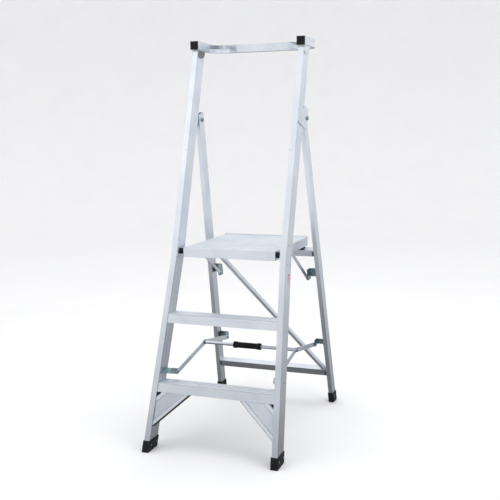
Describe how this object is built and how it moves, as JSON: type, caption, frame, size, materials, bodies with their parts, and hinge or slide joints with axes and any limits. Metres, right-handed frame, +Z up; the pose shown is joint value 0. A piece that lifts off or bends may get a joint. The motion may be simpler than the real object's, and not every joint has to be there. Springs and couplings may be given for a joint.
{
  "type": "platform step ladder",
  "caption": "Free-standing folding platform step ladder with box-section stiles, ribbed treads, railed standing platform, hinged braced rear frame and a handled spreader.",
  "frame": {"origin": "centre of the four feet's outline on the floor", "axes": "+Z up, -Y towards the user's climbing side, +X to the right seen from the front"},
  "size_m": [0.643, 0.9639, 1.8],
  "materials": {
    "bright_aluminium": "mill finish, lightly brushed along the length",
    "satin_aluminium": "duller mill finish with a cool tint",
    "zinc_steel": "bluish zinc plate",
    "boot_rubber": "matt black",
    "black_plastic": "satin black"
  },
  "bodies": {
    "front_frame": {"front_stile_left": "bright_aluminium", "front_stile_right": "bright_aluminium", "lower_tread": "bright_aluminium", "upper_tread": "bright_aluminium", "gusset_left": "satin_aluminium", "gusset_right": "satin_aluminium", "front_foot_left": "boot_rubber", "front_foot_right": "boot_rubber", "guard_rail": "bright_aluminium", "rail_cap_left": "black_plastic", "rail_cap_right": "black_plastic", "rail_saddle_left": "satin_aluminium", "rail_saddle_right": "satin_aluminium", "hinge_plate_left": "satin_aluminium", "hinge_plate_right": "satin_aluminium", "hinge_bolt_left": "zinc_steel", "hinge_bolt_right": "zinc_steel", "platform_bracket_left": "satin_aluminium", "platform_bracket_right": "satin_aluminium", "platform_bush_left": "black_plastic", "platform_bush_right": "black_plastic", "platform_pin_left": "zinc_steel", "platform_pin_right": "zinc_steel", "spreader_bracket_left": "zinc_steel", "spreader_bracket_right": "zinc_steel", "spreader_pin_left": "zinc_steel", "spreader_pin_right": "zinc_steel"},
    "rear_frame": {"rear_stile_left": "satin_aluminium", "rear_stile_right": "satin_aluminium", "rear_upper_bar": "satin_aluminium", "rear_lower_bar": "satin_aluminium", "rear_brace": "satin_aluminium", "rear_foot_left": "boot_rubber", "rear_foot_right": "boot_rubber", "rest_pad_left": "black_plastic", "rest_pad_right": "black_plastic", "link_bracket_left": "zinc_steel", "link_bracket_right": "zinc_steel", "link_pin_left": "zinc_steel", "link_pin_right": "zinc_steel", "rear_arm_bracket_left": "zinc_steel", "rear_arm_bracket_right": "zinc_steel", "rear_arm_pin_left": "zinc_steel", "rear_arm_pin_right": "zinc_steel"},
    "platform": {"platform_deck": "bright_aluminium", "platform_front_rail": "bright_aluminium", "platform_rear_rail": "bright_aluminium", "platform_side_left": "bright_aluminium", "platform_side_right": "bright_aluminium", "platform_boss_left": "zinc_steel", "platform_boss_right": "zinc_steel"},
    "platform_links": {"platform_link_left": "satin_aluminium", "platform_link_right": "satin_aluminium"},
    "spreader_handle": {"spreader_front_arm_left": "satin_aluminium", "spreader_front_arm_right": "satin_aluminium", "handle_rod": "satin_aluminium", "handle_grip": "black_plastic"},
    "spreader_rear_arms": {"spreader_rear_arm_left": "satin_aluminium", "spreader_rear_arm_right": "satin_aluminium"}
  },
  "joints": [
    {"name": "rear_frame_fold", "type": "hinge", "parent": "front_frame", "child": "rear_frame", "pos_m": [0, 0.0923, 1.441], "axis": [-1, 0, 0], "range_deg": [0, 25]},
    {"name": "platform_tilt", "type": "hinge", "parent": "front_frame", "child": "platform", "pos_m": [0, -0.189, 0.853], "axis": [1, 0, 0], "range_deg": [0, 72.5]},
    {"name": "link_swing", "type": "hinge", "parent": "rear_frame", "child": "platform_links", "pos_m": [0, 0.256, 0.673], "axis": [-1, 0, 0], "range_deg": [0, 23.3]},
    {"name": "spreader_handle_lift", "type": "hinge", "parent": "front_frame", "child": "spreader_handle", "pos_m": [0, -0.271, 0.31], "axis": [1, 0, 0], "range_deg": [0, 64.4]},
    {"name": "spreader_rear_swing", "type": "hinge", "parent": "rear_frame", "child": "spreader_rear_arms", "pos_m": [0, 0.3585, 0.3165], "axis": [-1, 0, 0], "range_deg": [0, 47.4]}
  ],
  "couplings": [
    {"joint": "platform_tilt", "follows": "rear_frame_fold", "ratio": 2.896},
    {"joint": "link_swing", "follows": "rear_frame_fold", "ratio": 0.92976},
    {"joint": "spreader_handle_lift", "follows": "rear_frame_fold", "ratio": 2.5713},
    {"joint": "spreader_rear_swing", "follows": "rear_frame_fold", "ratio": 1.8935}
  ]
}
